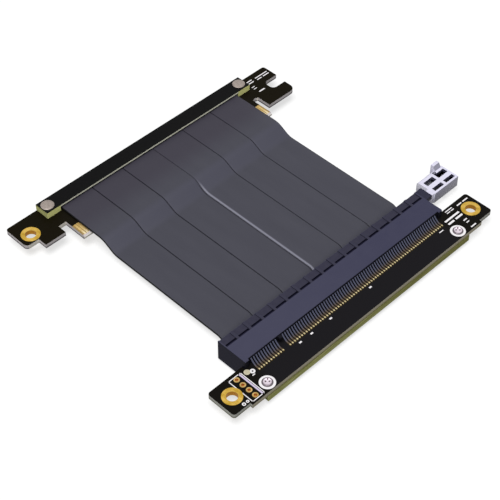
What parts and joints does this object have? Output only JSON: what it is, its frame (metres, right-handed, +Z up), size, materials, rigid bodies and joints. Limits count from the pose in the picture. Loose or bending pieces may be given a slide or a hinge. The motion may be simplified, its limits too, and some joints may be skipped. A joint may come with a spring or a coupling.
{
  "type": "pcie extension cable",
  "caption": "Flat card-edge extension cable: a straddle-mounted card socket with a white latch, flat cable strips in riveted clamps, and a gold-fingered plug board.",
  "frame": {"origin": "midway between the two mounting holes of the socket board, on the board's top face", "axes": "+X along the contact rows towards the latch, +Y along the cable from the socket board to the plug board, +Z up from the boards' top faces"},
  "size_m": [0.1206, 0.1055, 0.0088],
  "materials": {
    "socket_board": "black solder mask over a glass-fibre board",
    "plug_board": "black solder mask over a glass-fibre board",
    "clamps": "black glass-fibre board with bare yellow-green edges",
    "rivets": "nickel plated",
    "gold": "gold plated",
    "contacts": "plated spring metal",
    "housing": "moulded, near black",
    "latch": "moulded, white",
    "cable": "dark grey soft jacket"
  },
  "bodies": {
    "cable": {"socket_board": "socket_board", "plug_board": "plug_board", "socket_clamp": "clamps", "plug_clamp": "clamps", "socket_rivet_left": "rivets", "socket_rivet_right": "rivets", "plug_rivet_left": "rivets", "plug_rivet_right": "rivets", "socket_ring_left": "gold", "socket_ring_right": "gold", "plug_ring": "gold", "header_eyelets": "gold", "top_fingers": "gold", "bottom_fingers": "gold", "socket_housing": "housing", "top_contacts": "contacts", "bottom_contacts": "contacts", "ribbon_1": "cable", "ribbon_2": "cable", "ribbon_3": "cable", "ribbon_4": "cable", "ribbon_5": "cable", "ribbon_6": "cable"},
    "latch": {"card_latch": "latch"}
  },
  "joints": [
    {"name": "latch_hinge", "type": "hinge", "parent": "cable", "child": "latch", "pos_m": [0.04605, 0.0134, -0.0008], "axis": [0, 0, 1], "range_deg": [-15, 0]}
  ]
}
